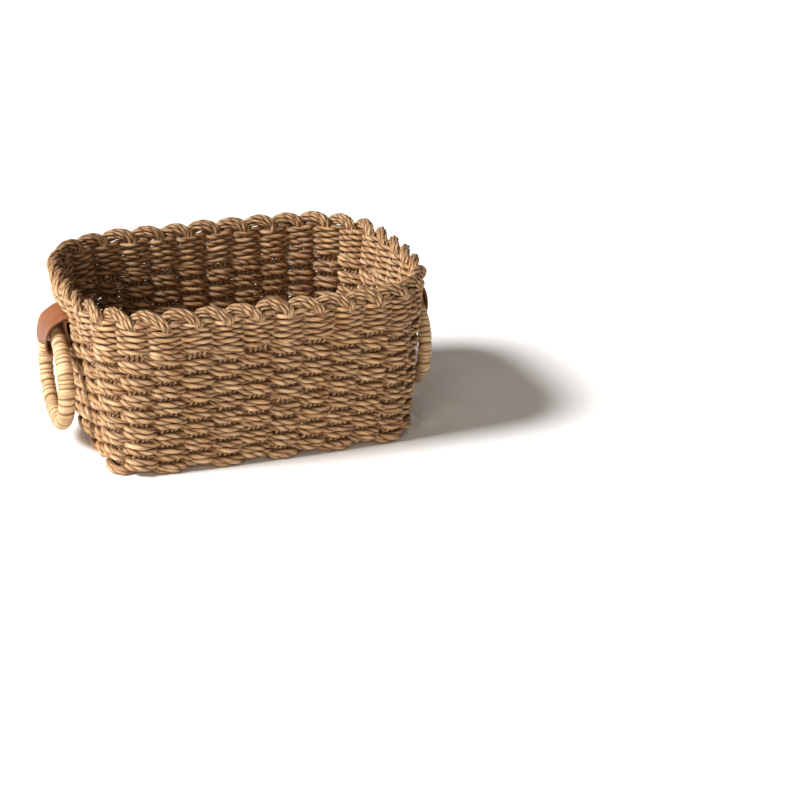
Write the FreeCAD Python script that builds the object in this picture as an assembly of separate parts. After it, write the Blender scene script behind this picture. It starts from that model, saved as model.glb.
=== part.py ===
import FreeCAD, Part
import math
import os

os.makedirs("parts", exist_ok=True)

Vec = FreeCAD.Vector

# Basket body, millimetres. Half sizes are to the middle of the wall's thickness,
# measured at the middle of a side. The origin is the centre of the base, on the floor.
height = 190.0
rim_half_length = 190.5
rim_half_width = 133.0
rim_corner_radius = 86.0
rim_short_side_radius = 450.0
rim_long_side_radius = 3300.0
base_half_length = 164.0
base_half_width = 112.0
base_corner_radius = 24.0
base_short_side_radius = 2200.0
base_long_side_radius = 3300.0

# Woven wall: a rope in front of the stakes and a rope behind them
rope_diameter = 7.0
stake_thickness = 3.6
stake_width = 15.0
wall_thickness = 2 * rope_diameter + stake_thickness
course_count = 15
course_pitch = 9.33
twined_row_count = 5
twined_top = 176.0
cross_stake_count = 10
long_stake_count = 7

# Woven base
cross_stake_level = 4.0
long_stake_level = 7.9
base_weaver_bottom = 0.6
base_weaver_top = 12.0
base_gap = 0.25

# Handles: a leather strap loop hung from a slot in each short side, and a bound ring in the loop
slot_height = 148.5
strap_width = 48.0
strap_thickness = 2.2
root_depth = 6.8
root_thickness = 4.4
slot_clearance = 0.2
hinge_offset = 3.0
hinge_head_radius = 2.6
ring_radius = 51.5
wrap_radius = 8.25
core_radius = 5.5
wrap_clearance = 0.1
ring_offset = 8.85
ring_top = 130.0
winding_slit = 0.5
stitch_count = 6
stitch_pitch = 7.5
stitch_radius = 0.6
stitch_depth = 4.0


def blend(low, high, z):
    return low + (high - low) * z / height


def outline_arcs(z, offset):
    """Quarter outline at height z, in x > 0, y > 0, moved outward by offset."""
    half_length = blend(base_half_length, rim_half_length, z)
    half_width = blend(base_half_width, rim_half_width, z)
    corner = blend(base_corner_radius, rim_corner_radius, z)
    short_side = 1 / blend(1 / base_short_side_radius, 1 / rim_short_side_radius, z)
    long_side = 1 / blend(1 / base_long_side_radius, 1 / rim_long_side_radius, z)
    long_centre = Vec(0, half_width - long_side, 0)
    short_centre = Vec(half_length - short_side, 0, 0)
    # the corner arc touches both side arcs from the inside
    reach_long = long_side - corner
    reach_short = short_side - corner
    apart = short_centre - long_centre
    distance = apart.Length
    along = (reach_long**2 - reach_short**2 + distance**2) / (2 * distance)
    across = math.sqrt(reach_long**2 - along**2)
    forward = apart / distance
    sideways = Vec(forward.y, -forward.x, 0)
    corner_centre = long_centre + forward * along + sideways * across
    arcs = {
        "long": (long_centre, long_side + offset),
        "corner": (corner_centre, corner + offset),
        "short": (short_centre, short_side + offset),
        "long_turn": math.atan2(corner_centre.x, corner_centre.y - long_centre.y),
        "short_turn": math.atan2(corner_centre.y, corner_centre.x - short_centre.x),
    }
    return arcs


def polar(centre, radius, turn, z):
    """Point at an angle turned clockwise from +Y."""
    return Vec(centre.x + radius * math.sin(turn), centre.y + radius * math.cos(turn), z)


def outline(z, offset):
    """Closed outline of eight tangent arcs."""
    arcs = outline_arcs(z, offset)
    first = arcs["long_turn"]
    last = math.pi / 2 - arcs["short_turn"]
    long_end = polar(*arcs["long"], first, z)
    corner_middle = polar(*arcs["corner"], (first + last) / 2, z)
    short_end = polar(*arcs["corner"], last, z)
    long_middle = polar(*arcs["long"], 0, z)
    short_middle = polar(*arcs["short"], math.pi / 2, z)

    def flip(point, sx, sy):
        return Vec(point.x * sx, point.y * sy, z)

    edges = []
    for sx, sy in ((1, 1), (1, -1), (-1, -1), (-1, 1)):
        corner_arc = Part.Arc(flip(long_end, sx, sy), flip(corner_middle, sx, sy), flip(short_end, sx, sy))
        edges.append(corner_arc.toShape())
    for s in (1, -1):
        long_arc = Part.Arc(flip(long_end, -1, s), flip(long_middle, 1, s), flip(long_end, 1, s))
        edges.append(long_arc.toShape())
        short_arc = Part.Arc(flip(short_end, s, 1), flip(short_middle, s, 1), flip(short_end, s, -1))
        edges.append(short_arc.toShape())
    return Part.Wire(Part.__sortEdges__(edges))


def quarter_place(z, share):
    """Point and outward turn from +Y at a share of the quarter outline's length."""
    arcs = outline_arcs(z, 0)
    first = arcs["long_turn"]
    last = math.pi / 2 - arcs["short_turn"]
    pieces = [("long", 0, first), ("corner", first, last), ("short", last, math.pi / 2)]
    lengths = [arcs[name][1] * (end - start) for name, start, end in pieces]
    left = share * sum(lengths)
    for (name, start, end), length in zip(pieces, lengths):
        if left <= length or name == "short":
            turn = start + (end - start) * left / length
            return polar(*arcs[name], turn, z), turn
        left -= length


def column_share(column):
    """Columns are evenly spaced round the wall, half a pitch either side of the long sides' middle."""
    return (column + 0.5) / ((cross_stake_count + long_stake_count) / 2)


def rectangle(centre, turn, z):
    """Stake section at height z, its width along the wall."""
    along = Vec(math.cos(turn), -math.sin(turn), 0) * (stake_width / 2)
    out = Vec(math.sin(turn), math.cos(turn), 0) * (stake_thickness / 2)
    middle = Vec(centre.x, centre.y, z)
    corners = [middle + along + out, middle - along + out, middle - along - out, middle + along - out]
    return Part.makePolygon(corners + corners[:1])


def stake_leg(column, sx, sy, foot):
    """Upright leg of a stake in the wall, from the base to the border."""
    sections = []
    for z in (foot, (foot + twined_top) / 2, twined_top):
        centre, turn = quarter_place(z, column_share(column))
        sections.append(rectangle(centre, turn, z))
    leg = Part.makeLoft(sections, True, True)
    if sx < 0:
        leg = leg.mirror(Vec(), Vec(1, 0, 0))
    if sy < 0:
        leg = leg.mirror(Vec(), Vec(0, 1, 0))
    return leg


def cross_stake(index):
    """Front wall, base and back wall in one piece."""
    half = cross_stake_count // 2
    sx = 1 if index >= half else -1
    column = index - half if sx > 0 else half - 1 - index
    foot, turn = quarter_place(cross_stake_level, column_share(column))
    reach = foot.y + stake_thickness / 2 * math.cos(turn)
    corner = Vec(sx * foot.x - stake_width / 2, -reach, cross_stake_level)
    bar = Part.makeBox(stake_width, 2 * reach, stake_thickness, corner)
    legs = [stake_leg(column, sx, sy, cross_stake_level) for sy in (1, -1)]
    return bar.fuse(legs).removeSplitter()


def long_stake_foot(index):
    """Column, side, foot and outward turn of a lengthwise stake's right leg."""
    half = long_stake_count // 2
    sy = 1 if index >= half else -1
    column = cross_stake_count // 2 + half - abs(index - half)
    foot, turn = quarter_place(long_stake_level, column_share(column))
    return column, sy, Vec(foot.x, sy * foot.y, 0), turn


def long_stake(index):
    """Left wall, base and right wall in one piece."""
    column, sy, foot, turn = long_stake_foot(index)
    reach = foot.x + stake_thickness / 2 * math.sin(turn)
    corner = Vec(-reach, foot.y - stake_width / 2, long_stake_level)
    bar = Part.makeBox(2 * reach, stake_width, stake_thickness, corner)
    legs = [stake_leg(column, sx, sy, long_stake_level) for sx in (1, -1)]
    return bar.fuse(legs).removeSplitter()


def wall_band(bottom, top):
    """Closed ring of rope round the basket between two heights."""
    half = wall_thickness / 2
    outer = Part.makeLoft([outline(bottom, half), outline(top, half)], True, True)
    inner = Part.makeLoft([outline(bottom, -half), outline(top, -half)], True, True)
    return outer.cut(inner)


def base_weavers(tools):
    """Ropes woven through the cross stakes, one lane between each two long stakes."""
    long_bars = [long_stake_foot(index)[2].y for index in range(long_stake_count)]
    room = Part.Face(outline(base_weaver_bottom, -wall_thickness / 2 - base_gap))
    room = room.extrude(Vec(0, 0, base_weaver_top - base_weaver_bottom))
    lanes = []
    for lower, upper in zip(long_bars[:-1], long_bars[1:]):
        start = lower + stake_width / 2 + base_gap
        width = upper - stake_width / 2 - base_gap - start
        corner = Vec(-base_half_length, start, base_weaver_bottom)
        lane = Part.makeBox(2 * base_half_length, width, base_weaver_top, corner)
        lanes.append(lane.common(room).cut(tools))
    return lanes


def wall_face(z):
    """Outer face of the short side at its middle."""
    return blend(base_half_length, rim_half_length, z) + wall_thickness / 2


def strap_box(inner, outer, bottom, top, spare=0.0):
    """Box across the strap's width; inner and outer are distances from the wall's face at the slot."""
    face = wall_face(slot_height)
    corner = Vec(face + inner, -strap_width / 2 - spare, bottom)
    return Part.makeBox(outer - inner, strap_width + 2 * spare, top - bottom, corner)


def strap_root(spare=0.0):
    """The strap's two tucked ends, in the outer ropes of the wall."""
    half = root_thickness / 2 + spare
    outer = -0.5 if spare == 0 else wall_thickness
    return strap_box(-root_depth - spare / 2, outer, slot_height - half, slot_height + half, spare)


def stitches(radius, half_height):
    """Row of thread stitches through the tucked ends."""
    face = wall_face(slot_height)
    rows = []
    for index in range(stitch_count):
        y = (index - (stitch_count - 1) / 2) * stitch_pitch
        foot = Vec(face - stitch_depth, y, slot_height - half_height)
        rows.append(Part.makeCylinder(radius, 2 * half_height, foot))
    return Part.makeCompound(rows)


def strap_loop():
    """Loop round the ring's top, with the head that bends at the slot."""
    face = wall_face(slot_height)
    half = strap_width / 2
    taper = (wall_face(slot_height) - wall_face(0)) / slot_height
    loop_bottom = 114.2
    shoulder = 142.0

    def back(z):
        return strap_thickness + 0.5 - taper * (slot_height - z)

    tunnel_points = [
        (back(loop_bottom), loop_bottom),
        (20.8, loop_bottom),
        (20.8, 128.0),
        (16.5, 136.0),
        (10.5, 139.4),
        (back(shoulder) + 2.0, shoulder),
        (back(shoulder), shoulder),
    ]
    corners = [Vec(face + d, -half, z) for d, z in tunnel_points]
    tunnel = Part.Face(Part.makePolygon(corners + corners[:1]))
    outer = tunnel.makeOffset2D(strap_thickness)
    loop = outer.extrude(Vec(0, strap_width, 0)).cut(tunnel.extrude(Vec(0, strap_width, 0)))
    neck_points = [(0.9, 143.6), (5.2, 143.2), (5.5, slot_height), (0.5, slot_height)]
    corners = [Vec(face + d, -half, z) for d, z in neck_points]
    neck = Part.Face(Part.makePolygon(corners + corners[:1])).extrude(Vec(0, strap_width, 0))
    head_start = Vec(face + hinge_offset, -half, slot_height)
    head = Part.makeCylinder(hinge_head_radius, strap_width, head_start, Vec(0, 1, 0))
    return loop.fuse([neck, head]).removeSplitter()


def torus(radius):
    centre = Vec(wall_face(slot_height) + ring_offset, 0, ring_top - ring_radius)
    return Part.makeTorus(ring_radius, radius, centre, Vec(1, 0, 0))


def ring_wrap():
    """Winding round the core, open by a slit under the strap where it starts and ends."""
    winding = torus(wrap_radius).cut(torus(core_radius + wrap_clearance))
    face = wall_face(slot_height)
    corner = Vec(face, -winding_slit / 2, ring_top - 2 * wrap_radius)
    slit = Part.makeBox(4 * wrap_radius, winding_slit, 4 * wrap_radius, corner)
    return winding.cut(slit)


def save(shape, name):
    if not shape.isValid():
        raise ValueError(name + " is not valid")
    shape.exportStep("parts/" + name + ".step")
    box = shape.BoundBox
    print(name, len(shape.Solids), "solid", round(shape.Volume), "mm3", round(box.ZMin, 2), round(box.ZMax, 2))


def main():
    cross_stakes = [cross_stake(i) for i in range(cross_stake_count)]
    long_stakes = [long_stake(i) for i in range(long_stake_count)]
    stakes = cross_stakes + long_stakes
    for i, shape in enumerate(cross_stakes):
        save(shape, f"cross_stake_{i + 1:02d}")
    for i, shape in enumerate(long_stakes):
        save(shape, f"long_stake_{i + 1:02d}")

    for i in range(course_count):
        band = wall_band(i * course_pitch, (i + 1) * course_pitch)
        save(band.cut(stakes), f"course_{i + 1:02d}")

    slot = strap_root(slot_clearance)
    slots = [slot, slot.mirror(Vec(), Vec(1, 0, 0))]
    twined_bottom = course_count * course_pitch
    twined_pitch = (twined_top - twined_bottom) / twined_row_count
    for i in range(twined_row_count):
        bottom = twined_bottom + i * twined_pitch
        band = wall_band(bottom, bottom + twined_pitch)
        save(band.cut(stakes + slots), f"twined_row_{i + 1}")
    save(wall_band(twined_top, height), "rim_border")

    for i, shape in enumerate(base_weavers(cross_stakes)):
        save(shape, f"base_weaver_{i + 1}")

    thread = stitches(stitch_radius, root_thickness / 2 + slot_clearance / 2)
    holes = stitches(stitch_radius + wrap_clearance / 2, root_thickness)
    handle = {
        "leather_tab": strap_loop(),
        "tab_root": strap_root().cut(holes),
        "tab_stitches": thread,
        "ring_core": torus(core_radius),
        "ring_wrap": ring_wrap(),
    }
    for name, shape in handle.items():
        save(shape, name + "_right")
        save(shape.mirror(Vec(), Vec(1, 0, 0)), name + "_left")


main()
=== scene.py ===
import math
import random

import bmesh
import bpy
import numpy as np
from mathutils import Matrix, Vector


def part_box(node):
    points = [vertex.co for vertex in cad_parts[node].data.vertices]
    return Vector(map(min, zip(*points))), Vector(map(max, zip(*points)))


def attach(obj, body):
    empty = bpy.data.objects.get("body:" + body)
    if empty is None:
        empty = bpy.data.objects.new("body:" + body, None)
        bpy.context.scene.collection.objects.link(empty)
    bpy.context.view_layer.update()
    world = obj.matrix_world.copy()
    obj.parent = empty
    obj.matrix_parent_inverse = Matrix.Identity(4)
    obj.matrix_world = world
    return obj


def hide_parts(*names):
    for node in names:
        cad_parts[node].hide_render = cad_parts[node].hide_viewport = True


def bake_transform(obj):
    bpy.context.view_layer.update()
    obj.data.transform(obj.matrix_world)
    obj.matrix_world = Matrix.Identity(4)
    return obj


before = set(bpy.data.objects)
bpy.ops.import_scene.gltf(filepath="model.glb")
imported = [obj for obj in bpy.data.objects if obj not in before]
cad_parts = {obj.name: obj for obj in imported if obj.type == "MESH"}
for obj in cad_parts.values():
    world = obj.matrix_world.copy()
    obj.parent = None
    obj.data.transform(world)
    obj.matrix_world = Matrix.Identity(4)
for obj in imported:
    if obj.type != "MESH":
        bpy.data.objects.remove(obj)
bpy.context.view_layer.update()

tau = 2 * math.pi
quarterTurn = math.pi / 2


class Value:
    # one shader socket; arithmetic on it adds Math nodes
    def __init__(self, shader, socket):
        self.shader = shader
        self.socket = socket

    def math(self, operation, other):
        return self.shader.node("ShaderNodeMath", {"operation": operation}, {0: self, 1: other})

    def __add__(self, other):
        return self.math("ADD", other)

    def __mul__(self, other):
        return self.math("MULTIPLY", other)

    __radd__ = __add__
    __rmul__ = __mul__

    def clamped(self):
        return self.shader.node("ShaderNodeClamp", {}, {"Value": self})

    def between(self, low, high):
        inputs = {"Value": self, "From Min": low, "From Max": high}
        return self.shader.node("ShaderNodeMapRange", {"clamp": True}, inputs)


class Shader:
    def __init__(self, name):
        self.material = bpy.data.materials.new(name)
        self.material.use_nodes = True
        self.tree = self.material.node_tree
        self.surface = self.tree.nodes["Principled BSDF"]

    def socket(self, sockets, key):
        # by number, by name, or by identifier where several sockets share a name
        if isinstance(key, int):
            return sockets[key]
        return next(s for s in sockets if key in (s.identifier, s.name))

    def node(self, kind, settings, inputs, output=0):
        made = self.tree.nodes.new(kind)
        for key, setting in settings.items():
            setattr(made, key, setting)
        for key, given in inputs.items():
            socket = self.socket(made.inputs, key)
            if isinstance(given, Value):
                self.tree.links.new(given.socket, socket)
            else:
                socket.default_value = given
        return Value(self, self.socket(made.outputs, output))

    def attribute(self, name, output="Vector"):
        return self.node("ShaderNodeAttribute", {"attribute_name": name}, {}, output)

    def place(self):
        return self.node("ShaderNodeTexCoord", {}, {}, "Object")

    def stretched(self, vector, along, across):
        inputs = {0: vector, 1: (along, across, across)}
        return self.node("ShaderNodeVectorMath", {"operation": "MULTIPLY"}, inputs)

    def noise(self, vector, scale=1.0, detail=3.0, roughness=0.6):
        inputs = {"Vector": vector, "Scale": scale, "Detail": detail, "Roughness": roughness}
        return self.node("ShaderNodeTexNoise", {}, inputs)

    def mix(self, share, first, second):
        first, second = (c if isinstance(c, Value) else (*c, 1.0) for c in (first, second))
        inputs = {"Factor_Float": share, "A_Color": first, "B_Color": second}
        return self.node("ShaderNodeMix", {"data_type": "RGBA"}, inputs, "Result_Color")

    def bump(self, height, distance, strength):
        inputs = {"Height": height, "Distance": distance, "Strength": strength}
        return self.node("ShaderNodeBump", {}, inputs)

    def drive(self, socket, given):
        self.tree.links.new(given.socket, self.surface.inputs[socket])

    def roughen(self, least, extra):
        self.drive("Roughness", (least + extra).clamped())


cordLook = {
    "pale": (0.95, 0.64, 0.36),
    "middle": (0.72, 0.40, 0.17),
    "dark": (0.11, 0.036, 0.008),
    "patches": (22.0, 60.0),       # changes of tone per metre, along and across a ply
    "patchRange": (0.36, 0.66),
    "streaks": (34.0, 520.0),      # fibre streaks per metre, along and across
    "streakRange": (0.52, 0.66),
    "streakDepth": 0.60,
    "fine": (170.0, 1612.0),       # the finest fibres
    "fineRange": (0.52, 0.68),
    "fineDepth": 0.36,
    "creaseShadeDepth": 0.98,           # strength of the painted shade in the grooves between plies, where cords meet and on thin tucked stretches
    "roughness": (0.68, 0.25),     # least, and what the streaks add
    "bump": (0.0015, 0.9),         # depth and strength
    "fineBump": 0.5,
}


def cordMaterial(name, look, paintedShade=1.0):
    s = Shader(name)
    fibre = s.attribute("fibre")
    streak = s.noise(s.stretched(fibre, *look["streaks"]))
    fine = s.noise(s.stretched(fibre, *look["fine"]), detail=2.0)
    patch = s.noise(s.stretched(fibre, *look["patches"]))
    # a factor below 1 makes darker copies of the same cord colours: painted shade on the stakes and the
    # rim
    pale, middle, dark = (tuple(c * paintedShade for c in look[k]) for k in ("pale", "middle", "dark"))
    base = s.mix(patch.between(*look["patchRange"]), pale, middle)
    deep = streak.between(*look["streakRange"]) * look["streakDepth"]
    deep = deep + fine.between(*look["fineRange"]) * look["fineDepth"]
    streaked = s.mix(deep.clamped(), base, dark)
    # painted shade in the grooves and where cords meet
    grooveShade = (s.attribute("crease", "Fac") * look["creaseShadeDepth"]).clamped()
    s.drive("Base Color", s.mix(grooveShade, streaked, dark))
    least, extra = look["roughness"]
    s.roughen(least, streak * extra)
    s.drive("Normal", s.bump(streak + fine * look["fineBump"], *look["bump"]))
    return s.material


ringLook = {
    "pale": (0.84, 0.58, 0.33),
    "middle": (0.66, 0.42, 0.205),
    "dark": (0.13, 0.050, 0.014),
    "patches": (110.0, 40.0),
    "patchRange": (0.35, 0.65),
    "streaks": (620.0, 60.0),      # along the ring, so that they run with each turn of the strand
    "streakRange": (0.48, 0.68),
    "streakDepth": 0.62,
    # painted shade between the turns of the strand
    "creaseShadeDepth": 0.8,
    "roughness": (0.55, 0.3),
    "bump": (0.0010, 0.8),
}


def ringMaterial(look):
    s = Shader("rush_winding")
    fibre = s.attribute("fibre")
    streak = s.noise(s.stretched(fibre, *look["streaks"]), roughness=0.65)
    patch = s.noise(s.stretched(fibre, *look["patches"]), detail=2.0, roughness=0.5)
    base = s.mix(patch.between(*look["patchRange"]), look["pale"], look["middle"])
    deep = (streak.between(*look["streakRange"]) * look["streakDepth"]).clamped()
    grooveShade = (s.attribute("crease", "Fac") * look["creaseShadeDepth"]).clamped()
    s.drive("Base Color", s.mix(grooveShade, s.mix(deep, base, look["dark"]), look["dark"]))
    least, extra = look["roughness"]
    s.roughen(least, streak * extra)
    s.drive("Normal", s.bump(streak, *look["bump"]))
    return s.material


leatherLook = {
    "light": (0.32, 0.115, 0.043),
    "deep": (0.23, 0.076, 0.026),
    "edge": (0.13, 0.05, 0.025),
    "clouds": 45.0,                # changes of tone per metre
    "cloudRange": (0.35, 0.65),
    "grain": 900.0,
    "pores": 1980.0,
    "poreRange": (0.55, 0.75),
    "poreDepth": 0.25,
    "edgeDepth": 0.85,
    "roughness": (0.40, 0.15, 0.3),   # least, and what the clouds and the cut edge add
    "bump": (0.00025, 0.6),
    "poreBump": 0.4,
}


def leatherMaterial(look):
    s = Shader("tan_leather")
    place = s.place()
    clouds = s.noise(place, look["clouds"], roughness=0.55)
    pores = s.noise(place, look["pores"], detail=2.0, roughness=0.5)
    grain = {"Vector": place, "Scale": look["grain"]}
    cells = s.node("ShaderNodeTexVoronoi", {"feature": "F1"}, grain, "Distance")
    edge = s.attribute("edge", "Fac")
    face = s.mix(clouds.between(*look["cloudRange"]), look["light"], look["deep"])
    worn = s.mix((pores.between(*look["poreRange"]) * look["poreDepth"]).clamped(), face, look["deep"])
    s.drive("Base Color", s.mix((edge * look["edgeDepth"]).clamped(), worn, look["edge"]))
    least, fromClouds, fromEdge = look["roughness"]
    s.roughen(least, clouds * fromClouds + edge * fromEdge)
    s.drive("Normal", s.bump(cells + pores * look["poreBump"], *look["bump"]))
    return s.material


caneLook = {
    "light": (0.62, 0.45, 0.26),
    "deep": (0.45, 0.29, 0.14),
    "grain": 180.0,
    "grainRange": (0.35, 0.7),
    "roughness": (0.6, 0.3),
    "bump": (0.0003, 0.6),
}
threadLook = {
    **caneLook,
    "light": (0.55, 0.36, 0.20),
    "deep": (0.42, 0.26, 0.13),
    "grain": 900.0,
}


def grainMaterial(name, look):
    s = Shader(name)
    grain = s.noise(s.place(), look["grain"], detail=4.0)
    s.drive("Base Color", s.mix(grain.between(*look["grainRange"]), look["light"], look["deep"]))
    least, extra = look["roughness"]
    s.roughen(least, grain * extra)
    s.drive("Normal", s.bump(grain, *look["bump"]))
    return s.material


ropeMat = cordMaterial("weaver_rope", cordLook)
# the stakes and the rim are the same cord as the ropes, made darker as painted shade
stakeMat = cordMaterial("stake_cord", cordLook, 0.9)
rimMat = cordMaterial("rim_cord", cordLook, 0.88)
windingMat = ringMaterial(ringLook)
leatherMat = leatherMaterial(leatherLook)
caneMat = grainMaterial("cane_core", caneLook)
threadMat = grainMaterial("thread", threadLook)
print("materials ready")


wall = {
    "columns": 34,                 # stakes round the wall
    "ropeDiameter": 0.0070,
    "stakeThickness": 0.0036,
    "baseCornerRadius": 0.024,
    "rimCornerRadius": 0.086,
    "baseShortSideRadius": 2.2,    # bow of the sides
    "rimShortSideRadius": 0.45,
    "longSideRadius": 3.3,
    "wander": 0.0011,              # how far the hand-woven wall strays
    "wanderWaves": (2, 3, 5, 7),   # round the wall
    "wanderRise": 1.3,             # and up it
    "seed": 11,
}
wobble = {
    "waves": (1, 3, 7, 13, 29),    # round the basket
    "weights": (0.4, 1.0),
    "peak": 0.6,                   # share of the full height, as the waves never peak together
}

halfWall = wall["ropeDiameter"] + wall["stakeThickness"] / 2
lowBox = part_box("course_01")
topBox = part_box("rim_border")
rimHeight = topBox[1].z
halfColumns = wall["columns"] / 2
quarterColumns = wall["columns"] / 4
strayRandom = random.Random(wall["seed"])
strayWaves = [(n, strayRandom.uniform(0, tau), strayRandom.uniform(0, tau)) for n in wall["wanderWaves"]]


def lerp(low, high, share):
    return low + (high - low) * share


def limited(number):
    return min(1.0, max(0.0, number))


def outlineArcs(z):
    # a quarter of the wall's outline at height z: long side, corner, short side
    share = (z - lowBox[1].z) / (rimHeight - lowBox[1].z)
    rise = z / rimHeight
    halfLength = lerp(lowBox[1].x, topBox[1].x, share) - halfWall
    halfWidth = lerp(lowBox[1].y, topBox[1].y, share) - halfWall
    corner = lerp(wall["baseCornerRadius"], wall["rimCornerRadius"], rise)
    shortSide = 1 / lerp(1 / wall["baseShortSideRadius"], 1 / wall["rimShortSideRadius"], rise)
    longSide = wall["longSideRadius"]
    longCentre = (0.0, halfWidth - longSide)
    shortCentre = (halfLength - shortSide, 0.0)
    # the corner's centre is where it touches both sides
    gapX, gapY = shortCentre[0] - longCentre[0], shortCentre[1] - longCentre[1]
    apart = math.hypot(gapX, gapY)
    reach = longSide - corner
    along = (reach**2 - (shortSide - corner)**2 + apart**2) / (2 * apart)
    across = math.sqrt(reach**2 - along**2)
    cornerX = longCentre[0] + (gapX * along + gapY * across) / apart
    cornerY = longCentre[1] + (gapY * along - gapX * across) / apart
    first = math.atan2(cornerX - longCentre[0], cornerY - longCentre[1])
    last = quarterTurn - math.atan2(cornerY - shortCentre[1], cornerX - shortCentre[0])
    arcs = [
        (longCentre, longSide, 0.0, first),
        ((cornerX, cornerY), corner, first, last),
        (shortCentre, shortSide, last, quarterTurn),
    ]
    return arcs, sum(radius * (end - start) for centre, radius, start, end in arcs)


arcStore = {}


def wallPlace(u, z):
    # point and outward direction at column u, counted from the front's middle towards +X
    key = round(z, 5)
    if key not in arcStore:
        arcStore[key] = outlineArcs(z)
    arcs, length = arcStore[key]
    quarter, within = divmod(u % wall["columns"], quarterColumns)
    share = (quarterColumns - within if quarter in (1, 3) else within) / quarterColumns
    left = share * length
    for centre, radius, start, end in arcs:
        span = radius * (end - start)
        if left <= span or end == quarterTurn:
            turn = start + (end - start) * left / span
            break
        left -= span
    outX, outY = math.sin(turn), math.cos(turn)
    x, y = centre[0] + radius * outX, centre[1] + radius * outY
    signX = -1 if quarter in (2, 3) else 1
    signY = -1 if quarter in (0, 3) else 1
    return x * signX, y * signY, outX * signX, outY * signY


def stray(u, z):
    # slow unevenness of the whole wall, none at the floor
    rise = z / rimHeight
    total = 0.0
    for n, a, b in strayWaves:
        around = math.sin(n * u * tau / wall["columns"] + a)
        total += around * math.sin(n * rise * wall["wanderRise"] + b) / n
    return total * wall["wander"] * rise


def wallPoint(u, z, out):
    x, y, outX, outY = wallPlace(u, z)
    out = out + stray(u, z)
    return Vector((x + outX * out, y + outY * out, z))


class Wobble:
    # smooth seeded variation along a closed rope, about -1 to 1
    def __init__(self, rng, waves=wobble["waves"]):
        self.waves = [(n, rng.uniform(0, tau), rng.uniform(*wobble["weights"])) for n in waves]
        self.total = sum(w for n, p, w in self.waves) * wobble["peak"]

    def at(self, u):
        turn = u * tau / wall["columns"]
        return sum(math.sin(n * turn + p) * w for n, p, w in self.waves) / self.total


laid = {
    "lobe": 0.85,          # roundness of a ply, 1 is a plain cosine
    "paintedShade": 1.5,          # how quickly the painted shade in a groove darkens
    "contactShadeFrom": 0.38,      # height on the rope, per radius, where the painted contact shade starts
    "contactShadeOver": 0.46,
    "contactShadePower": 1.2,
    "tucked": 0.6,         # painted shade on the thin, hidden stretches
    "grainShift": 7.31,    # metres between the grain of one cord and of the next
}


def profileCurve(name, plies, sides, crease):
    # closed cross-section of a laid cord, radius 1, with painted shade for its grooves
    data = bpy.data.curves.new(name, "CURVE")
    data.dimensions = "2D"
    spline = data.splines.new("POLY")
    spline.points.add(sides - 1)
    paintedShade = []
    for i in range(sides):
        turn = i / sides * tau
        lobe = abs(math.cos(turn * plies / 2)) ** laid["lobe"]
        radius = 1 - crease * (1 - lobe)
        spline.points[i].co = (math.cos(turn) * radius, math.sin(turn) * radius, 0, 1)
        # painted shade, darkest in the groove between plies
        paintedShade.append((1 - lobe) ** laid["paintedShade"])
    spline.use_cyclic_u = True
    profile = bpy.data.objects.new(name, data)
    bpy.context.scene.collection.objects.link(profile)
    return profile, np.array(paintedShade)


weaverProfile = profileCurve("weaver_profile", plies=2, sides=16, crease=0.50)
thinProfile = profileCurve("thin_profile", plies=2, sides=8, crease=0.24)


def linked(name, data):
    piece = bpy.data.objects.new(name, data)
    bpy.context.scene.collection.objects.link(piece)
    return piece


def smoothed(mesh):
    for polygon in mesh.polygons:
        polygon.use_smooth = True


def addAttribute(mesh, name, kind, key, values):
    layer = mesh.attributes.new(name, kind, "POINT")
    layer.data.foreach_set(key, np.array(values, np.float32).ravel())


def cordMesh(name, cords, profile, closed, contactShade=0.0):
    # cords: lists of (point, radius, tilt); the last argument sets the painted shade where a rope meets
    # its neighbours
    profileObject, paintedShade = profile
    data = bpy.data.curves.new(name, "CURVE")
    data.dimensions = "3D"
    data.twist_mode = "MINIMUM"
    data.bevel_mode = "OBJECT"
    data.bevel_object = profileObject
    for cord in cords:
        spline = data.splines.new("POLY")
        spline.points.add(len(cord) - 1)
        spline.points.foreach_set("co", [v for p, r, t in cord for v in (*p, 1.0)])
        spline.points.foreach_set("radius", [r for p, r, t in cord])
        spline.points.foreach_set("tilt", [t for p, r, t in cord])
        spline.use_cyclic_u = closed
    source = linked(name + "_path", data)
    graph = bpy.context.evaluated_depsgraph_get()
    mesh = bpy.data.meshes.new_from_object(source.evaluated_get(graph))
    mesh.name = name
    bpy.data.objects.remove(source)
    addFibre(mesh, cords, paintedShade, contactShade)
    if not closed:
        bm = bmesh.new()
        bm.from_mesh(mesh)
        bmesh.ops.holes_fill(bm, edges=[e for e in bm.edges if e.is_boundary], sides=len(paintedShade))
        bm.to_mesh(mesh)
        bm.free()
    smoothed(mesh)
    return linked(name, mesh)


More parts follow.
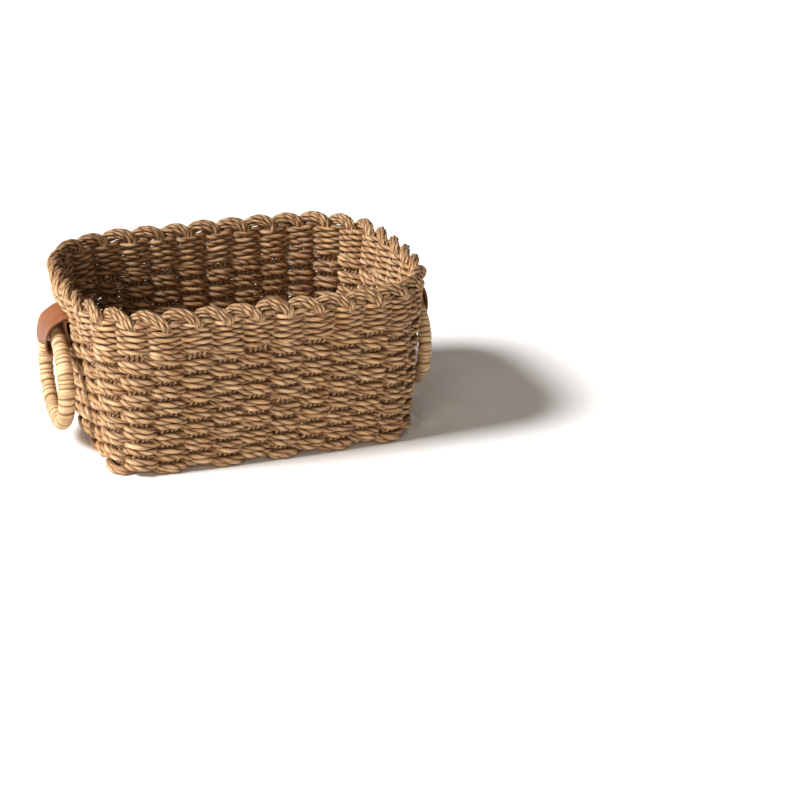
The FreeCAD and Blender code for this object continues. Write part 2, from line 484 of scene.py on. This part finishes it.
def addFibre(mesh, cords, paintedShade, contactShade):
    # fibre runs along each ply; crease is painted shade, 1 in the groove between plies, and it also holds
    # the painted shade where ropes meet and on thin stretches
    sides = len(paintedShade)
    turns = np.arange(sides) / sides * tau
    places = np.zeros(len(mesh.vertices) * 3)
    mesh.vertices.foreach_get("co", places)
    places = places.reshape(-1, 3)
    fibres, creaseShades = [], []
    first = 0
    for index, cord in enumerate(cords):
        points = np.array([p for p, r, t in cord])
        radii = np.array([r for p, r, t in cord])
        steps = np.linalg.norm(np.diff(points, axis=0), axis=1)
        along = np.concatenate([[0.0], np.cumsum(steps)]) + index * laid["grainShift"]
        grid = np.zeros((len(cord), sides, 3))
        grid[:, :, 0] = along[:, None]
        grid[:, :, 1] = radii[:, None] * np.cos(turns)[None]
        grid[:, :, 2] = radii[:, None] * np.sin(turns)[None]
        fibres.append(grid.reshape(-1, 3))
        after = first + len(cord) * sides
        rise = places[first:after, 2].reshape(len(cord), sides) - points[:, 2:3]
        first = after
        # painted shade on the rope's top and bottom, where it meets its neighbours, and on its thin,
        # tucked stretches
        upright = np.clip((np.abs(rise) / radii[:, None] - laid["contactShadeFrom"]) / laid["contactShadeOver"], 0, 1)
        tucked = 1 - (radii - radii.min()) / (np.ptp(radii) + 1e-9)
        hiddenShade = contactShade * np.maximum(upright ** laid["contactShadePower"], laid["tucked"] * tucked[:, None])
        creaseShades.append((1 - (1 - paintedShade[None]) * (1 - hiddenShade)).ravel())
    if len(mesh.vertices) != first:
        raise ValueError(f"{mesh.name}: {len(mesh.vertices)} vertices for {first} profile points")
    addAttribute(mesh, "fibre", "FLOAT_VECTOR", "vector", np.concatenate(fibres))
    addAttribute(mesh, "crease", "FLOAT", "value", np.concatenate(creaseShades))


def setMaterial(piece, material):
    piece.data.materials.clear()
    piece.data.materials.append(material)


def finishPiece(piece, body, slotName, material, *nodes):
    setMaterial(piece, material)
    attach(piece, body)
    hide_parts(*nodes)


def pathLength(points):
    return sum((b - a).length for a, b in zip(points, points[1:]))


def levelOf(nodeName):
    low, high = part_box(nodeName)
    return (low.z + high.z) / 2


weaving = {
    "stepsPerColumn": 15,
    "twistPitch": 0.031,
    "unevenTwist": 9.0,         # radians that the twist runs ahead or behind
    "unevenWaves": (11, 23, 41),
    "sizeWaves": (2, 5, 11, 23, 31),
    "variation": 0.0007,
    "depthShare": 0.6,          # of that variation, in and out of the wall
    "floorGap": 0.0001,
    "contactShade": 0.9,                # painted shade where ropes meet
}
courses = {
    "count": 15,
    "seed": 100,
    "pinch": 0.98,          # rope size where it passes between stakes
    "full": 1.13,           # and where it lies across a stake
    "fullness": 1.0,
    "sharpness": 1.5,       # how flat the rope lies across a stake
    "reach": 1.0,           # depth of the weave
    "sizeChange": 0.06,
    "ownShare": 0.35,       # of the variation that each rope has for itself
    "spread": 0.0035,       # half the distance between the two ropes over a stake
    "closing": 0.74,        # share of that spread where they pass between stakes
}
twining = {
    "count": 5,
    "seed": 200,
    "sharedSeed": 250,      # for what all the rows have in common
    "pinch": 0.94,
    "full": 1.06,
    "fullness": 0.7,
    "sharpness": 1.2,
    "reach": 0.96,
    "sizeChange": 0.05,
    "ownShare": 0.25,
    "rise": 0.0021,         # how far a rope climbs across a column
}


def sway(turns, sharpness):
    # a wave from 1 to -1 that lies flat over a stake and under the next
    return math.tanh(sharpness * math.cos(math.pi * turns)) / math.tanh(sharpness)


def ropeTilts(points, pitch, start):
    # a whole number of twists round a closed rope
    loop = points + points[:1]
    length = pathLength(loop)
    turns = round(length / pitch)
    tilts = []
    travelled = 0.0
    for a, b in zip(loop, loop[1:]):
        share = travelled / length
        uneven = sum(math.sin(n * share * tau + start * n) / n for n in weaving["unevenWaves"])
        tilts.append(start + share * turns * tau + uneven * weaving["unevenTwist"])
        travelled += (b - a).length
    return tilts


def wovenRope(weave, phase, z, liftAt, rng, shared):
    radius = wall["ropeDiameter"] / 2
    amplitude = weave["reach"] * (wall["ropeDiameter"] + wall["stakeThickness"]) / 2
    heights, depths, sizes = Wobble(rng), Wobble(rng), Wobble(rng, weaving["sizeWaves"])
    points, radii = [], []
    for i in range(wall["columns"] * weaving["stepsPerColumn"]):
        u = i / weaving["stepsPerColumn"]
        over = sway(u - 0.5 + phase, weave["sharpness"])
        size = radius * lerp(weave["pinch"], weave["full"], abs(over) ** weave["fullness"])
        size *= 1 + weave["sizeChange"] * sizes.at(u)
        uneven = weaving["variation"] * (shared.at(u) + weave["ownShare"] * heights.at(u))
        height = max(z + liftAt(u, abs(over)) + uneven, size + weaving["floorGap"])
        out = over * amplitude + depths.at(u) * weaving["variation"] * weaving["depthShare"]
        points.append(wallPoint(u, height, out))
        radii.append(size)
    tilts = ropeTilts(points, weaving["twistPitch"], rng.uniform(0, tau))
    return list(zip(points, radii, tilts))


def finishRow(nodeName, ropes):
    piece = cordMesh(f"{nodeName}_rope", ropes, weaverProfile, True, weaving["contactShade"])
    finishPiece(piece, "basket", "weaver_rope", ropeMat, nodeName)


def courseLift(side):
    return lambda u, flat: side * courses["spread"] * lerp(courses["closing"], 1.0, flat)


def twinedLift(phase):
    return lambda u, flat: twining["rise"] * math.sin(math.pi * (u - 0.5 + phase))


for i in range(courses["count"]):
    nodeName = f"course_{i + 1:02d}"
    level = levelOf(nodeName)
    rng = random.Random(courses["seed"] + i)
    shared = Wobble(rng)
    finishRow(nodeName, [wovenRope(courses, i, level, courseLift(side), rng, shared) for side in (-1, 1)])
print("courses woven")

for i in range(twining["count"]):
    nodeName = f"twined_row_{i + 1}"
    level = levelOf(nodeName)
    rng = random.Random(twining["seed"] + i)
    shared = Wobble(random.Random(twining["sharedSeed"]))
    finishRow(nodeName, [wovenRope(twining, k, level, twinedLift(k), rng, shared) for k in (0, 1)])
print("twined rows woven")


stakes = {
    "across": 10,           # stakes that run across the base
    "along": 7,             # and along it
    "cords": 4,
    "cordPitch": 0.0049,
    "cordRadius": 0.0025,
    "twistPitch": 0.011,
    "step": 0.0030,
    "top": 0.172,
    "columnWidth": 0.030939,    # low on the wall
    "legKnots": 12,
    "baseKnots": 25,
    "jitter": 0.0002,
    "crossLevel": 0.0062,
    "longLevel": 0.0078,
    "baseWave": 0.0016,
    "bend": 0.012,          # radius of the turn from base to wall
    "flatFrom": 0.8,        # where the flat part starts, per bend radius
    "heelIn": 0.2,          # middle of the turn, inwards from the wall
    "heelUp": 0.25,         # and up from the base
    "acrossSeed": 300,
    "alongSeed": 330,
}


def smoothPath(corners, step):
    # evenly spaced points on a Catmull-Rom curve through the corners
    knots = [corners[0] * 2 - corners[1], *corners, corners[-1] * 2 - corners[-2]]
    dense = []
    for a, b, c, d in zip(knots, knots[1:], knots[2:], knots[3:]):
        pieces = max(4, int((c - b).length / step * 2))
        for i in range(pieces):
            t = i / pieces
            square = (2 * a - 5 * b + 4 * c - d) * t**2
            cube = (3 * b - 3 * c + d - a) * t**3
            dense.append(0.5 * (2 * b + (c - a) * t + square + cube))
    dense.append(knots[-2])
    lengths = np.concatenate([[0.0], np.cumsum([(b - a).length for a, b in zip(dense, dense[1:])])])
    count = max(4, int(lengths[-1] / step))
    marks = np.linspace(0, lengths[-1], count + 1)
    places = np.array(dense)
    return [Vector([np.interp(m, lengths, places[:, k]) for k in range(3)]) for m in marks]


def openCord(points, radius, pitch, start, taper=0.0, taperLength=0.008):
    travelled = 0.0
    length = pathLength(points)
    cord = []
    for i, point in enumerate(points):
        if i:
            travelled += (point - points[i - 1]).length
        near = min(travelled, length - travelled)
        size = radius * (1 - taper * max(0.0, 1 - near / taperLength))
        cord.append((point, size, start + travelled / pitch * tau))
    return cord


def stakeLeg(column, level, rng):
    leg = []
    for z in np.linspace(stakes["bend"] + level, stakes["top"], stakes["legKnots"]):
        out = rng.uniform(-stakes["jitter"], stakes["jitter"])
        leg.append(wallPoint(column, float(z), out))
    return leg


def stakeCords(columns, level, waveAt, rng):
    # columns: the two wall columns that the stake rises at, one each side
    cords = []
    for j in range(stakes["cords"]):
        aside = (j - (stakes["cords"] - 1) / 2) * stakes["cordPitch"] / stakes["columnWidth"]
        leg = stakeLeg(columns[0] + aside, level, rng)
        farLeg = stakeLeg(columns[1] - aside, level, rng)
        foot, farFoot = leg[0], farLeg[0]
        across = farFoot - foot
        across.z = 0
        base = []
        for share in np.linspace(0, 1, stakes["baseKnots"]):
            point = foot.lerp(farFoot, share)
            point.z = level + waveAt(point.x)
            if min(share, 1 - share) * across.length >= stakes["bend"] * stakes["flatFrom"]:
                base.append(point)
        inwards = across.normalized() * stakes["bend"] * stakes["heelIn"]
        heel, farHeel = foot + inwards, farFoot - inwards
        heel.z = farHeel.z = level + stakes["bend"] * stakes["heelUp"]
        points = smoothPath([*reversed(leg), heel, *base, farHeel, *farLeg], stakes["step"])
        cords.append(openCord(points, stakes["cordRadius"], stakes["twistPitch"], rng.uniform(0, tau)))
    return cords


def makeStake(nodeName, column, farColumn, level, waveAt, seed):
    cords = stakeCords((column, farColumn), level, waveAt, random.Random(seed))
    piece = cordMesh(f"{nodeName}_cords", cords, thinProfile, False)
    finishPiece(piece, "basket", "stake_cord", stakeMat, nodeName)


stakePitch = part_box("cross_stake_06")[0].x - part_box("cross_stake_05")[0].x


def noWave(x):
    return 0.0


def baseWave(phase):
    # over one cross stake and under the next
    return lambda x: stakes["baseWave"] * math.cos(math.pi * (x / stakePitch + 0.5 + phase))


for i in range(stakes["across"]):
    column = i - (stakes["across"] - 1) / 2
    farColumn = halfColumns - column
    seed = stakes["acrossSeed"] + i
    makeStake(f"cross_stake_{i + 1:02d}", column, farColumn, stakes["crossLevel"], noWave, seed)
for i in range(stakes["along"]):
    column = quarterColumns + i - (stakes["along"] - 1) / 2
    farColumn = wall["columns"] - column
    seed = stakes["alongSeed"] + i
    makeStake(f"long_stake_{i + 1:02d}", column, farColumn, stakes["longLevel"], baseWave(i), seed)
print("stakes made")


border = {
    "cords": 6,
    "columnWidth": 0.034,
    "cordRadius": 0.0023,
    "radiusRange": (0.92, 1.10),
    "taper": 0.15,
    "tall": 0.0045,        # half size of the bundle up and down
    "deep": 0.0036,        # and across the wall
    "ends": 0.72,          # its size at the two ends
    "startTurn": 0.6,      # radians either way
    "twist": 3.1,          # radians from end to end
    "twistRange": (0.7, 1.3),
    "cordTwist": 0.022,
    "step": 0.0018,
    # painted shade where the border cords meet
    "contactShade": 0.75,
    # middle of one arch: columns from the stake, depth below the rim, distance out
    "route": [
        (0.04, 0.0260, 0.0000), (0.00, 0.0185, -0.0024), (0.10, 0.0110, -0.0036), (0.32, 0.0070, -0.0022),
        (0.56, 0.0070, 0.0010), (0.80, 0.0102, 0.0040), (0.97, 0.0155, 0.0054), (1.08, 0.0220, 0.0034),
    ],
    "crown": range(2, 6),           # the points that an uneven arch lifts
    "crownLift": (-0.0010, 0.0008),
    "jitter": 0.0005,
    "seed": 400,
}


def archMiddle(rng):
    # laid out flat: x along the wall, y up from the rim, z out of the wall
    lift = rng.uniform(*border["crownLift"])
    corners = []
    for k, (u, depth, out) in enumerate(border["route"]):
        raised = lift if k in border["crown"] else 0.0
        out += rng.uniform(-border["jitter"], border["jitter"])
        corners.append(Vector((u * border["columnWidth"], raised - depth, out)))
    return smoothPath(corners, border["step"])


def archCords(column, rng):
    middle = archMiddle(rng)
    last = len(middle) - 1
    start = rng.uniform(-border["startTurn"], border["startTurn"])
    twist = border["twist"] * rng.uniform(*border["twistRange"])
    cords = []
    for j in range(border["cords"]):
        points = []
        for i, point in enumerate(middle):
            run = (middle[min(i + 1, last)] - middle[max(i - 1, 0)]).normalized()
            side = Vector((-run.y, run.x, 0)).normalized()
            share = i / last
            size = lerp(border["ends"], 1.0, math.sin(math.pi * share))
            turn = start + twist * share + j * tau / border["cords"]
            spot = point + side * (math.cos(turn) * border["tall"] * size)
            out = spot.z + math.sin(turn) * border["deep"] * size
            points.append(wallPoint(column + spot.x / border["columnWidth"], rimHeight + spot.y, out))
        radius = border["cordRadius"] * rng.uniform(*border["radiusRange"])
        cords.append(openCord(points, radius, border["cordTwist"], rng.uniform(0, tau), border["taper"]))
    return cords


rng = random.Random(border["seed"])
arches = []
for k in range(wall["columns"]):
    arches += archCords(k + 0.5, rng)
piece = cordMesh("rim_border_cords", arches, thinProfile, False, border["contactShade"])
finishPiece(piece, "basket", "stake_cord", rimMat, "rim_border")
print("border made")


weavers = {
    "count": 6,
    "ropeRadius": 0.0027,
    "radiusRange": (0.97, 1.04),
    "twistPitch": 0.02635,
    "amplitude": 0.0040,
    "sharpness": 1.5,
    "level": 0.0070,
    "pairPitch": 0.0088,
    "spread": 0.0024,
    "jitter": 0.0002,
    "step": 0.0030,
    "tuck": 0.0040,        # how far the ends reach into the wall
    "seed": 500,
}


def baseRope(x0, x1, y, phase, rng):
    steps = int((x1 - x0) / weavers["step"])
    points = []
    for i in range(steps + 1):
        x = lerp(x0, x1, i / steps)
        over = sway(x / stakePitch + 0.5 + phase, weavers["sharpness"])
        z = weavers["level"] + weavers["amplitude"] * over
        points.append(Vector((x, y + rng.uniform(-weavers["jitter"], weavers["jitter"]), z)))
    radius = weavers["ropeRadius"] * rng.uniform(*weavers["radiusRange"])
    return openCord(points, radius, weavers["twistPitch"], rng.uniform(0, tau))


for i in range(weavers["count"]):
    nodeName = f"base_weaver_{i + 1}"
    low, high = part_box(nodeName)
    rng = random.Random(weavers["seed"] + i)
    ropes = []
    for pair in (-0.5, 0.5):
        for member in (-1, 1):
            y = (low.y + high.y) / 2 + pair * weavers["pairPitch"] + member * weavers["spread"]
            x0, x1 = low.x - weavers["tuck"], high.x + weavers["tuck"]
            ropes.append(baseRope(x0, x1, y, i + 0.5 + pair, rng))
    piece = cordMesh(f"{nodeName}_ropes", ropes, weaverProfile, False)
    finishPiece(piece, "basket", "weaver_rope", ropeMat, nodeName)
print("base woven")


rings = {
    "windings": 52,
    "stepsPerWinding": 12,
    "sides": 22,
    "ridge": 0.0016,             # how far each turn of the strand stands out
    "ridgeMiddle": 0.6,
    "inset": 0.4,                # share of the ridge that the tube gives up
    "windingRange": (0.6, 1.0),  # height of one turn against another
    "warp": 0.30,                # uneven spacing, in windings
    "warpWaves": (2, 5, 9, 14),
    "slant": 0.275,              # windings from the middle to each side
    "unevenness": 0.0005,
    "lumpWaves": (3, 8, 17),
    "bulk": 0.17,                # how much thicker one leg is wound
    # painted shade in the grooves between the turns of the strand
    "creaseShadeCore": 1.45,
    "creaseShadeFall": 8.0,
    "grainShift": 0.013,
    "ridgeSkew": 0.75,           # below 1, a turn is steeper on one side
    "ridgeRound": 0.6,
    "bulkPower": 1.5,
    "legs": {"left": (-1, 600), "right": (1, 601)},   # side of the thick leg in y, and the seed
}


def windRing(side):
    low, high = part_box(f"ring_wrap_{side}")
    centre = (low + high) / 2
    tube = (high.x - low.x) / 2 - rings["ridge"] * rings["inset"]
    radius = (high.z - low.z) / 2 - (high.x - low.x) / 2
    bm = bmesh.new()
    bmesh.ops.create_circle(bm, segments=rings["sides"], radius=tube)
    for v in bm.verts:
        v.co = (-v.co.y, 0.0, radius + v.co.x)   # upright, at the top of the ring
    bmesh.ops.spin(bm, geom=bm.verts[:] + bm.edges[:], cent=(0, 0, 0), axis=(1, 0, 0), angle=tau,
                   steps=rings["windings"] * rings["stepsPerWinding"], use_merge=True, use_duplicate=False)
    bmesh.ops.remove_doubles(bm, verts=bm.verts[:], dist=1e-6)
    bmesh.ops.recalc_face_normals(bm, faces=bm.faces[:])
    fibres, creaseShades = shapeWinding(bm, side, tube, radius)
    mesh = bpy.data.meshes.new(f"ring_wrap_{side}_strand")
    bm.to_mesh(mesh)
    bm.free()
    mesh.transform(Matrix.Translation(centre))
    addAttribute(mesh, "fibre", "FLOAT_VECTOR", "vector", fibres)
    addAttribute(mesh, "crease", "FLOAT", "value", creaseShades)
    smoothed(mesh)
    finishPiece(linked(mesh.name, mesh), f"{side}_ring", "rush_winding", windingMat, f"ring_wrap_{side}")


def shapeWinding(bm, side, tube, radius):
    # raise the turns of the strand on a plain ring
    thickLeg, seed = rings["legs"][side]
    rng = random.Random(seed)
    lumps = [(n, rng.uniform(0, tau), rng.uniform(0, tau)) for n in rings["lumpWaves"]]
    warps = [(n, rng.uniform(0, tau)) for n in rings["warpWaves"]]
    sizes = [rng.uniform(*rings["windingRange"]) for _ in range(rings["windings"])]
    fibres, creaseShades = [], []
    for v in bm.verts:
        x, y, z = v.co
        around = math.atan2(z, y)
        reach = math.hypot(y, z) - radius
        turn = math.atan2(reach, x)
        warp = sum(math.sin(n * around + p) for n, p in warps) * rings["warp"]
        phase = rings["windings"] * around / tau + warp + math.sin(turn) * rings["slant"]
        cell = math.floor(phase) % rings["windings"]
        within = phase % 1
        ridge = math.sin(math.pi * within ** rings["ridgeSkew"]) ** rings["ridgeRound"] * sizes[cell]
        lump = sum(math.sin(n * around + p) * math.sin(turn + q) for n, p, q in lumps) / len(lumps)
        bulk = rings["bulk"] * max(0.0, thickLeg * math.cos(around)) ** rings["bulkPower"]
        raised = rings["ridge"] * (ridge - rings["ridgeMiddle"]) + rings["unevenness"] * lump
        size = 1 + bulk + raised / tube
        away = radius + reach * size
        v.co = (x * size, math.cos(around) * away, math.sin(around) * away)
        shift = cell * rings["grainShift"]
        fibres.append((around * radius + shift, math.cos(turn) * tube, math.sin(turn) * tube))
        # painted shade, darkest in the groove between two turns
        creaseShades.append(limited(rings["creaseShadeCore"] - min(within, 1 - within) * rings["creaseShadeFall"]))
    return fibres, creaseShades


windRing("left")
windRing("right")
print("rings wound")


strap = {
    "thickness": 0.0022,
    "rows": 26,             # across the width
    "step": 0.0016,
    "rounding": 0.0005,     # of the cut edges
    "edgeWidth": 0.0007,
    "slotGap": 0.0005,      # from the end of the root to the face of the wall
    # strap's middle surface: distance out from the wall at the slot, height from the slot
    "route": [
        (-0.0060, 0.0011), (-0.0022, 0.0014), (0.0018, 0.0013), (0.0065, -0.0008), (0.0118, -0.0042),
        (0.0160, -0.0095), (0.0184, -0.0165), (0.0190, -0.0240), (0.0175, -0.0305), (0.0120, -0.0335),
        (0.0040, -0.0335), (-0.0008, -0.0290), (-0.0012, -0.0200), (0.0005, -0.0100), (0.0008, -0.0040),
        (-0.0022, -0.0016), (-0.0060, -0.0014),
    ],
    "looseFrom": 0.12,      # share of the route, from each end, that is held in the slot
    "sag": 0.0066,          # how much lower the strap lies at its two edges
    "skew": 0.0022,         # and how much lower at its front edge than at its back edge
    "flare": 0.0032,        # how far its edges stand off the ring, so that the ring can swing
    "flareFrom": 0.007,     # distance out where that starts
    "flareOver": 0.006,
    "ripple": 0.0006,
    "rippleAcross": 5.0,
    "rippleAlong": 0.15,
    "bendFrom": (-0.0010, 0.0005),   # where the leather starts to bend, out and up from the slot
    "bendTo": (0.0035, -0.0040),
}


def makeStrap(side):
    low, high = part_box(f"tab_root_{side}")
    sign = 1 if side == "right" else -1
    face = (high.x if sign > 0 else -low.x) + strap["slotGap"]
    slot = (low.z + high.z) / 2
    halfWidth = (high.y - low.y) / 2
    path = smoothPath([Vector((face + d, 0, slot + h)) for d, h in strap["route"]], strap["step"])
    last = len(path) - 1
    bm = bmesh.new()
    bmesh.ops.create_grid(bm, x_segments=strap["rows"], y_segments=last, size=1)
    for v in bm.verts:
        across = v.co.x
        share = (v.co.y + 1) / 2
        k = round(share * last)
        point = path[k]
        held = strap["looseFrom"]
        loose = math.sin(math.pi * limited((share - held) / (1 - 2 * held)))
        flared = limited((point.x - face - strap["flareFrom"]) / strap["flareOver"]) * strap["flare"]
        ripple = strap["ripple"] * math.sin(across * strap["rippleAcross"] + k * strap["rippleAlong"])
        x = point.x + loose * ripple + flared * across**2
        z = point.z + loose * (strap["skew"] * across - strap["sag"] * across**2)
        v.co = (x * sign, across * halfWidth * sign, z)
    bmesh.ops.recalc_face_normals(bm, faces=bm.faces[:])
    mesh = bpy.data.meshes.new(f"leather_tab_{side}_strap")
    bm.to_mesh(mesh)
    bm.free()
    piece = linked(mesh.name, mesh)
    thicken(piece)
    markEdge(piece.data, halfWidth)
    smoothed(piece.data)
    setMaterial(piece, leatherMat)
    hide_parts(f"leather_tab_{side}", f"tab_root_{side}")
    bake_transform(piece)


def thicken(piece):
    # give the sheet its thickness and bake it into the piece's own mesh
    solid = piece.modifiers.new("thickness", "SOLIDIFY")
    solid.thickness = strap["thickness"]
    solid.offset = 0
    solid.use_even_offset = True
    rounded = piece.modifiers.new("edges", "BEVEL")
    rounded.width = strap["rounding"]
    rounded.segments = 2
    rounded.limit_method = "ANGLE"
    graph = bpy.context.evaluated_depsgraph_get()
    graph.update()
    baked = bpy.data.meshes.new_from_object(piece.evaluated_get(graph))
    sheet = piece.data
    piece.modifiers.clear()
    piece.data = baked
    baked.name = sheet.name + "_solid"
    bpy.data.meshes.remove(sheet)


def markEdge(mesh, halfWidth):
    # edge is 1 on the two cut edges
    limit = halfWidth - strap["edgeWidth"]
    shares = [limited((abs(v.co.y) - limit) / strap["edgeWidth"]) for v in mesh.vertices]
    addAttribute(mesh, "edge", "FLOAT", "value", shares)


makeStrap("left")
makeStrap("right")
for side in ("left", "right"):
    setMaterial(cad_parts[f"ring_core_{side}"], caneMat)
    setMaterial(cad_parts[f"tab_stitches_{side}"], threadMat)
print("leather tabs made")


studio = {
    "floorSize": 12.0,
    "floorLevel": -0.0002,
    "floor": (0.93, 0.93, 0.93),
    "floorRoughness": 0.9,
    "world": 0.24,
    "worldTint": (1.0, 0.91, 0.80),
    "target": (0.0, 0.0, 0.1),
    "sun": 5.1,
    "sunFrom": (-0.742, -0.02, 0.669),
    "sunDistance": 3.0,
    "sunSpread": 16.0,              # degrees
    "fillPlace": (-1.8, -2.4, 0.45),
    "fillSize": 1.6,
    "fillPower": 38.0,
    "fillTint": (1.0, 0.90, 0.78),
}

bpy.ops.mesh.primitive_plane_add(size=studio["floorSize"], location=(0, 0, studio["floorLevel"]))
floor = bpy.context.object
floor.name = "floor"
floorShader = Shader("floor_paper")
floorShader.surface.inputs["Base Color"].default_value = (*studio["floor"], 1.0)
floorShader.surface.inputs["Roughness"].default_value = studio["floorRoughness"]
floor.data.materials.append(floorShader.material)

world = bpy.data.worlds.new("studio")
world.use_nodes = True
background = world.node_tree.nodes["Background"]
background.inputs["Color"].default_value = (*studio["worldTint"], 1.0)
background.inputs["Strength"].default_value = studio["world"]
bpy.context.scene.world = world


def aimedLight(name, kind, place, target):
    data = bpy.data.lights.new(name, kind)
    light = linked(name, data)
    light.location = place
    light.rotation_euler = (target - place).to_track_quat("-Z", "Y").to_euler()
    return data


target = Vector(studio["target"])
sun = aimedLight("sun", "SUN", target + Vector(studio["sunFrom"]) * studio["sunDistance"], target)
sun.energy = studio["sun"]
sun.angle = math.radians(studio["sunSpread"])
fill = aimedLight("fill", "AREA", Vector(studio["fillPlace"]), target)
fill.energy = studio["fillPower"]
fill.size = studio["fillSize"]
fill.color = studio["fillTint"]

view = {
    "lens": 91.467,
    "sensor": 36.0,
    "farthest": 50.0,
    "distance": 2.2379,
    "azimuth": -21.809,
    "elevation": 23.499,
    "roll": 1.493,
    "aim": (0.0, 0.0, 0.092),   # the point that the camera is placed by
    "right": -0.08077,          # its place beside the middle of the view, per unit of distance
    "up": 0.0268,
}


def placeCamera():
    data = bpy.data.cameras.new("camera")
    data.lens = view["lens"]
    data.sensor_width = view["sensor"]
    data.clip_end = view["farthest"]
    camera = linked("camera", data)
    azimuth, elevation = math.radians(view["azimuth"]), math.radians(view["elevation"])
    level = math.cos(elevation)
    forward = Vector((-math.sin(azimuth) * level, math.cos(azimuth) * level, -math.sin(elevation)))
    right = Vector((math.cos(azimuth), math.sin(azimuth), 0))
    up = right.cross(forward)
    offset = (forward + right * view["right"] + up * view["up"]) * view["distance"]
    camera.location = Vector(view["aim"]) - offset
    turn = Matrix((right, up, -forward)).transposed().to_4x4()
    turn = turn @ Matrix.Rotation(math.radians(view["roll"]), 4, "Z")
    camera.rotation_euler = turn.to_euler()
    bpy.context.scene.camera = camera


placeCamera()
bpy.context.scene.view_settings.view_transform = "Standard"

for profileObject, paintedShade in (weaverProfile, thinProfile):
    bpy.data.objects.remove(profileObject)
